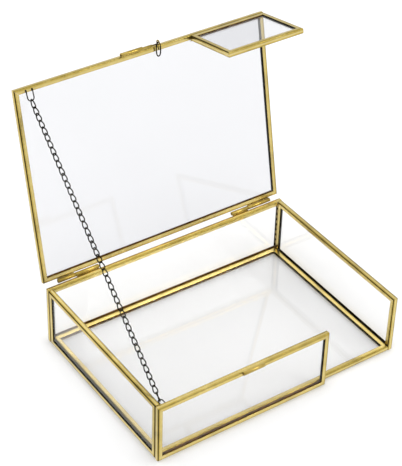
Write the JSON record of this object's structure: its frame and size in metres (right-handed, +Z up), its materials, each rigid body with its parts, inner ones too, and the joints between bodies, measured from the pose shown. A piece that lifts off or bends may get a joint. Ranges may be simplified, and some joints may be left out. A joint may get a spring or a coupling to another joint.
{
  "type": "hinged glass card box",
  "caption": "Brass-edged glass card box with a hinged glass lid, a flap on the lid that fills a gap in the front, a pin latch and a chain stay",
  "frame": {"origin": "middle of the open box's outline seen from above, in the plane the box stands on; 83 mm behind the front's inner face", "axes": "+X to the right along the front, +Y from the front to the hinged rear, +Z up; stored with the lid open"},
  "size_m": [0.198, 0.1808, 0.1967],
  "materials": {
    "brass": "satin, lightly lacquered",
    "clear_glass": "clear float glass",
    "dark_brass": "antiqued, worn bright on the high spots"
  },
  "bodies": {
    "base": {"floor_frame": "brass", "floor_glass": "clear_glass", "left_frame": "brass", "left_glass": "clear_glass", "right_frame": "brass", "right_glass": "clear_glass", "rear_frame": "brass", "rear_glass": "clear_glass", "front_frame": "brass", "front_glass": "clear_glass", "left_hinge_tray_knuckle": "brass", "left_hinge_pin": "brass", "right_hinge_tray_knuckle": "brass", "right_hinge_pin": "brass", "latch_tray_tube": "brass", "chain_tray_staple": "dark_brass"},
    "lid": {"lid_frame": "brass", "lid_glass": "clear_glass", "flap_frame": "brass", "flap_glass": "clear_glass", "left_hinge_lid_knuckle": "brass", "right_hinge_lid_knuckle": "brass", "latch_lid_tube": "brass", "chain_lid_staple": "dark_brass"},
    "latch_pin": {"latch_pin": "brass"},
    "latch_pull_loop": {"latch_pull_loop": "dark_brass"},
    "chain_section_01": {"chain_section_01": "dark_brass"},
    "chain_section_02": {"chain_section_02": "dark_brass"},
    "chain_section_03": {"chain_section_03": "dark_brass"},
    "chain_section_04": {"chain_section_04": "dark_brass"},
    "chain_section_05": {"chain_section_05": "dark_brass"},
    "chain_section_06": {"chain_section_06": "dark_brass"},
    "chain_section_07": {"chain_section_07": "dark_brass"},
    "chain_section_08": {"chain_section_08": "dark_brass"},
    "chain_section_09": {"chain_section_09": "dark_brass"},
    "chain_section_10": {"chain_section_10": "dark_brass"},
    "chain_section_11": {"chain_section_11": "dark_brass"},
    "chain_section_12": {"chain_section_12": "dark_brass"}
  },
  "joints": [
    {"name": "lid_hinge", "type": "hinge", "parent": "base", "child": "lid", "pos_m": [0, 0.0565, 0.0466], "axis": [1, 0, 0], "range_deg": [0, 101.8]},
    {"name": "latch_slide", "type": "slide", "parent": "lid", "child": "latch_pin", "axis": [-1, 0, 0], "range_m": [0, 0.0085]},
    {"name": "latch_loop_swing", "type": "hinge", "parent": "latch_pin", "child": "latch_pull_loop", "pos_m": [0.0105, 0.08523, 0.19047], "axis": [1, 0, 0], "range_deg": [-96.01, 0]},
    {"name": "chain_pivot_01", "type": "hinge", "parent": "base", "child": "chain_section_01", "pos_m": [-0.0925, -0.078, 0.0442], "axis": [1, 0, 0], "range_deg": [-97.31, 0]},
    {"name": "chain_pivot_02", "type": "hinge", "parent": "chain_section_01", "child": "chain_section_02", "pos_m": [-0.0917, -0.04874, 0.06862], "axis": [1, 0, 0], "range_deg": [0, 43.71]},
    {"name": "chain_pivot_03", "type": "hinge", "parent": "chain_section_02", "child": "chain_section_03", "pos_m": [-0.0912, -0.03045, 0.08389], "axis": [1, 0, 0], "range_deg": [0, 14.57]},
    {"name": "chain_pivot_04", "type": "hinge", "parent": "chain_section_03", "child": "chain_section_04", "pos_m": [-0.0904, -0.00119, 0.10831], "axis": [1, 0, 0], "range_deg": [0, 45.19]},
    {"name": "chain_pivot_05", "type": "hinge", "parent": "chain_section_04", "child": "chain_section_05", "pos_m": [-0.0903, 0.00247, 0.11137], "axis": [1, 0, 0], "range_deg": [0, 43.95]},
    {"name": "chain_pivot_06", "type": "hinge", "parent": "chain_section_05", "child": "chain_section_06", "pos_m": [-0.0902, 0.00613, 0.11442], "axis": [1, 0, 0], "range_deg": [0, 43.99]},
    {"name": "chain_pivot_12", "type": "hinge", "parent": "lid", "child": "chain_section_12", "pos_m": [-0.0881, 0.08294, 0.17853], "axis": [1, 0, 0], "range_deg": [-22.68, 0]},
    {"name": "chain_pivot_11", "type": "hinge", "parent": "chain_section_12", "child": "chain_section_11", "pos_m": [-0.0883, 0.07562, 0.17243], "axis": [1, 0, 0], "range_deg": [0, 7.48]},
    {"name": "chain_pivot_10", "type": "hinge", "parent": "chain_section_11", "child": "chain_section_10", "pos_m": [-0.0886, 0.06465, 0.16327], "axis": [1, 0, 0], "range_deg": [0, 20.09]},
    {"name": "chain_pivot_09", "type": "hinge", "parent": "chain_section_10", "child": "chain_section_09", "pos_m": [-0.0889, 0.05368, 0.15411], "axis": [1, 0, 0], "range_deg": [0, 24.35]},
    {"name": "chain_pivot_08", "type": "hinge", "parent": "chain_section_09", "child": "chain_section_08", "pos_m": [-0.0892, 0.0427, 0.14495], "axis": [1, 0, 0], "range_deg": [0, 15.88]},
    {"name": "chain_pivot_07", "type": "hinge", "parent": "chain_section_08", "child": "chain_section_07", "pos_m": [-0.0898, 0.02076, 0.12663], "axis": [1, 0, 0], "range_deg": [-7.91, 0]}
  ],
  "couplings": [
    {"joint": "latch_loop_swing", "follows": "lid_hinge", "ratio": -0.94303},
    {"joint": "chain_pivot_01", "follows": "lid_hinge", "ratio": -0.95577},
    {"joint": "chain_pivot_02", "follows": "lid_hinge", "ratio": 0.42928},
    {"joint": "chain_pivot_03", "follows": "lid_hinge", "ratio": 0.14301},
    {"joint": "chain_pivot_04", "follows": "lid_hinge", "ratio": 0.44377},
    {"joint": "chain_pivot_05", "follows": "lid_hinge", "ratio": 0.43167},
    {"joint": "chain_pivot_06", "follows": "lid_hinge", "ratio": 0.43205},
    {"joint": "chain_pivot_12", "follows": "lid_hinge", "ratio": -0.22273},
    {"joint": "chain_pivot_11", "follows": "lid_hinge", "ratio": 0.073384},
    {"joint": "chain_pivot_10", "follows": "lid_hinge", "ratio": 0.19727},
    {"joint": "chain_pivot_09", "follows": "lid_hinge", "ratio": 0.23906},
    {"joint": "chain_pivot_08", "follows": "lid_hinge", "ratio": 0.15587},
    {"joint": "chain_pivot_07", "follows": "lid_hinge", "ratio": -0.077561}
  ]
}
